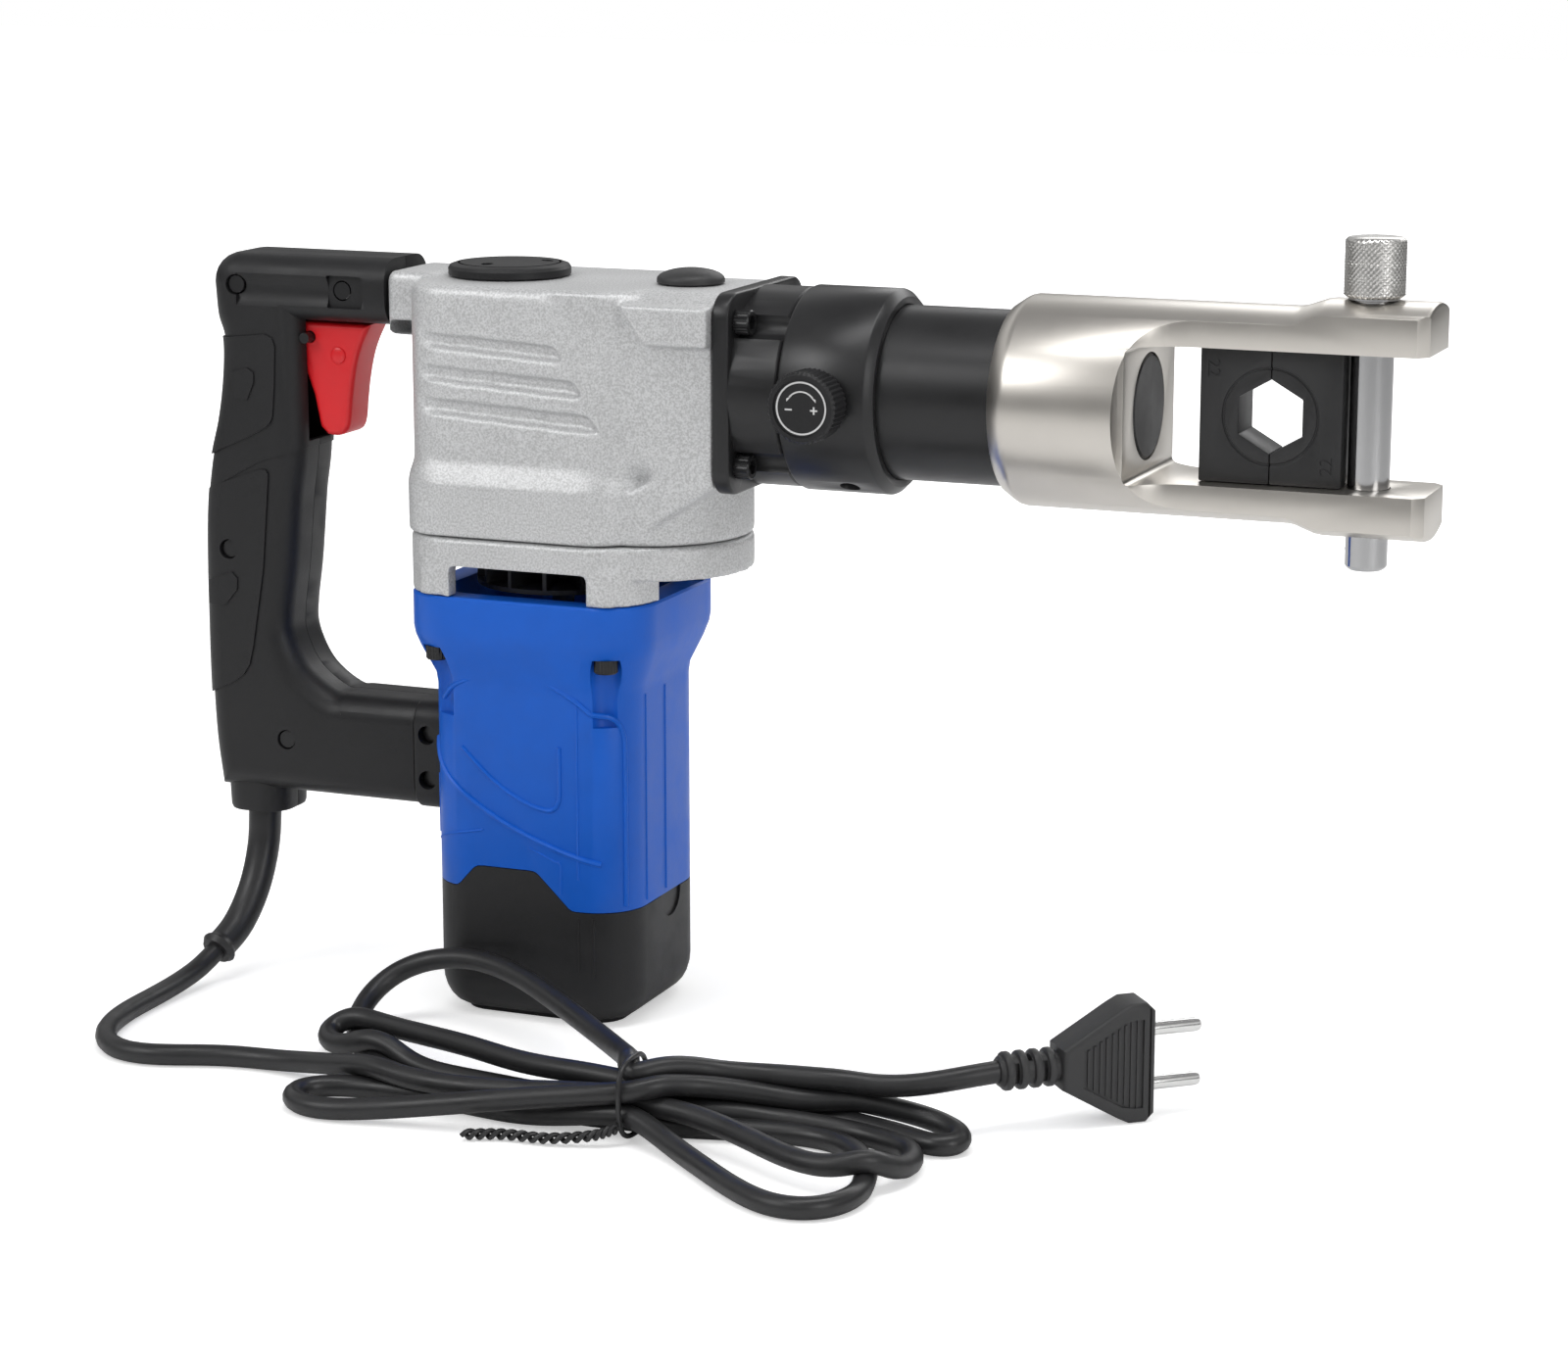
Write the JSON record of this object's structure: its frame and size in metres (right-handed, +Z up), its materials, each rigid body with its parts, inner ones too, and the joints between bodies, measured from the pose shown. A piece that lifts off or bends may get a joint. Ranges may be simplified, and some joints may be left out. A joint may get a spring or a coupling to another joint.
{
  "type": "electric hydraulic crimping tool",
  "caption": "Mains-powered hydraulic crimper: upright motor, D handle with trigger, horizontal cylinder, fork head with hexagonal dies held by a cross pin, lead and plug.",
  "frame": {"origin": "centre of the flat foot under the motor, on the motor's axis", "axes": "+X along the hydraulic cylinder toward the jaws, +Z up the motor's axis, -Y on the side of the release knob"},
  "size_m": [0.4582, 0.2369, 0.2928],
  "materials": {
    "black_plastic": "fine-grained moulded black plastic",
    "blue_plastic": "smooth satin blue moulding",
    "red_plastic": "smooth red moulding",
    "silver_paint": "speckled silver paint on cast aluminium",
    "black_oxide": "satin blackened steel",
    "screw_black": "black oxide cap screws",
    "nickel_plate": "satin nickel plating",
    "bright_steel": "plain bright steel",
    "polished_steel": "polished plated steel",
    "laminated_steel": "stacked sheet steel",
    "copper_bars": "copper segments",
    "carbon": "pressed carbon",
    "black_rubber": "soft black rubber",
    "seal_rubber": "sealing rubber"
  },
  "bodies": {
    "tool": {"motor_end_cap": "black_plastic", "motor_housing": "blue_plastic", "stator": "laminated_steel", "carbon_brush_near": "carbon", "carbon_brush_far": "carbon", "bearing_lower": "bright_steel", "bearing_upper": "bright_steel", "intermediate_plate": "silver_paint", "gear_housing": "silver_paint", "gear_bearing_lower": "bright_steel", "gear_bearing_upper": "bright_steel", "housing_screw_1": "screw_black", "housing_screw_2": "screw_black", "housing_screw_3": "screw_black", "housing_screw_4": "screw_black", "flange_screw_1": "screw_black", "flange_screw_2": "screw_black", "flange_screw_3": "screw_black", "flange_screw_4": "screw_black", "filler_cap": "black_plastic", "breather_plug": "black_rubber", "pump_body": "black_oxide", "valve_block": "black_oxide", "cylinder_tube": "black_oxide", "return_spring": "bright_steel", "head_fork": "nickel_plate", "fixed_die": "black_oxide", "handle_shell_near": "black_plastic", "handle_shell_far": "black_plastic", "handle_screw_1": "bright_steel", "handle_screw_2": "bright_steel", "handle_screw_3": "bright_steel", "handle_screw_4": "bright_steel", "trigger_pin": "bright_steel", "switch_body": "black_plastic", "bracket_screw_1": "bright_steel", "bracket_screw_2": "bright_steel", "handle_bracket": "black_plastic", "cord_sleeve": "black_rubber", "cord_lead": "black_rubber", "cord_tail": "black_rubber", "cord_hank": "black_rubber", "plug_contact_low": "polished_steel", "plug_contact_high": "polished_steel", "plug_body": "black_rubber"},
    "rotor": {"armature": "laminated_steel", "commutator": "copper_bars", "cooling_fan": "black_plastic"},
    "eccentric": {"drive_gear": "bright_steel", "eccentric_shaft": "bright_steel"},
    "plunger": {"pump_plunger": "polished_steel"},
    "knob": {"release_knob": "black_plastic"},
    "ram_assembly": {"ram": "black_oxide", "ram_seal": "seal_rubber"},
    "sliding_die": {"moving_die": "black_oxide"},
    "lock_pin": {"cross_pin": "polished_steel", "detent_ball": "bright_steel"},
    "trigger_lever": {"trigger": "red_plastic"}
  },
  "joints": [
    {"name": "trigger_squeeze", "type": "hinge", "parent": "tool", "child": "trigger_lever", "pos_m": [-0.097, 0, 0.242], "axis": [0, 1, 0], "range_deg": [0, 9], "stiffness_Nm_per_rad": 2, "springref_deg": -2.86},
    {"name": "release_turn", "type": "hinge", "parent": "tool", "child": "knob", "pos_m": [0.1123, 0, 0.233], "axis": [0, -1, 0], "range_deg": [0, 180]},
    {"name": "ram_stroke", "type": "slide", "parent": "tool", "child": "ram_assembly", "axis": [1, 0, 0], "range_m": [0, 0.0196], "stiffness_N_per_m": 1500, "springref_m": -0.02, "deforming": ["return_spring"]},
    {"name": "die_slide", "type": "slide", "parent": "tool", "child": "sliding_die", "axis": [1, 0, 0], "range_m": [-0.0193, 0]},
    {"name": "pin_lift", "type": "slide", "parent": "tool", "child": "lock_pin", "axis": [0, 0, 1], "range_m": [0, 0.075]},
    {"name": "rotor_spin", "type": "hinge", "parent": "tool", "child": "rotor", "pos_m": [0, 0, 0.1], "axis": [0, 0, 1], "continuous": true},
    {"name": "eccentric_spin", "type": "hinge", "parent": "tool", "child": "eccentric", "pos_m": [0.03626, 0, 0.2], "axis": [0, 0, 1], "continuous": true},
    {"name": "plunger_stroke", "type": "slide", "parent": "tool", "child": "plunger", "axis": [1, 0, 0], "range_m": [-0.0055, 0]}
  ],
  "couplings": [
    {"joint": "eccentric_spin", "follows": "rotor_spin", "ratio": -0.25641}
  ]
}
